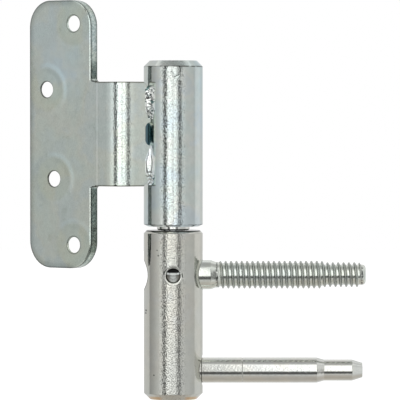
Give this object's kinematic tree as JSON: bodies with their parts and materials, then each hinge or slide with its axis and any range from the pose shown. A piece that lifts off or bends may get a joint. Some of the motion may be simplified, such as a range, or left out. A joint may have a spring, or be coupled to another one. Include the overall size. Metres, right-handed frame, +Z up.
{
  "type": "adjustable door hinge",
  "caption": "Zinc-plated drill-in door hinge: a folded leaf welded to the upper knuckle, and a lower knuckle with a threaded and a plain frame pin.",
  "frame": {"origin": "on the hinge axis, at the top face of the lower knuckle, where the two knuckles part", "axes": "+Z up the hinge axis, +X along the frame pins away from the door leaf, -Y the side that the folded strap points to"},
  "size_m": [0.1143, 0.0258, 0.1352],
  "materials": {
    "zinc_sheet": "bright zinc plate on cold-rolled sheet, with faint blue and violet passivation tints",
    "zinc_barrel": "bright zinc plate on a drawn and turned barrel, lightly mottled",
    "zinc_pin": "bright zinc plate on turned and rolled steel",
    "weld_metal": "plated weld bead, lumpy and bright",
    "bush_metal": "plated steel-backed plain bush",
    "ground_steel": "hardened and ground",
    "screw_steel": "zinc-plated set screw"
  },
  "bodies": {
    "frame_side": {"lower_knuckle": "zinc_barrel", "hinge_pin": "ground_steel", "guide_pin": "zinc_pin"},
    "side_screw": {"threaded_pin": "zinc_pin"},
    "lock": {"lock_screw": "screw_steel"},
    "thrust": {"thrust_disc": "ground_steel"},
    "door_side": {"door_leaf": "zinc_sheet", "upper_knuckle": "zinc_barrel", "upper_weld": "weld_metal", "lower_weld": "weld_metal", "flanged_bush": "bush_metal", "upper_bush": "bush_metal"},
    "height_adjuster": {"height_screw": "screw_steel"}
  },
  "joints": [
    {"name": "door_swing", "type": "hinge", "parent": "frame_side", "child": "thrust", "pos_m": [0, 0, 0], "axis": [0, 0, 1], "range_deg": [-141.5, 38.5]},
    {"name": "height_adjust", "type": "slide", "parent": "thrust", "child": "door_side", "axis": [0, 0, 1], "range_m": [0, 0.003]},
    {"name": "height_screw_turn", "type": "hinge", "parent": "thrust", "child": "height_adjuster", "pos_m": [0, 0, 0.05], "axis": [0, 0, 1], "range_deg": [-720, 0]},
    {"name": "side_adjust", "type": "hinge", "parent": "frame_side", "child": "side_screw", "pos_m": [0, 0, -0.0151], "axis": [1, 0, 0], "continuous": true},
    {"name": "lock_turn", "type": "hinge", "parent": "frame_side", "child": "lock", "pos_m": [0, 0, -0.0151], "axis": [0, -1, 0], "range_deg": [0, 720]}
  ],
  "couplings": [
    {"joint": "height_screw_turn", "follows": "height_adjust", "rad_per_m": -4188.8}
  ]
}
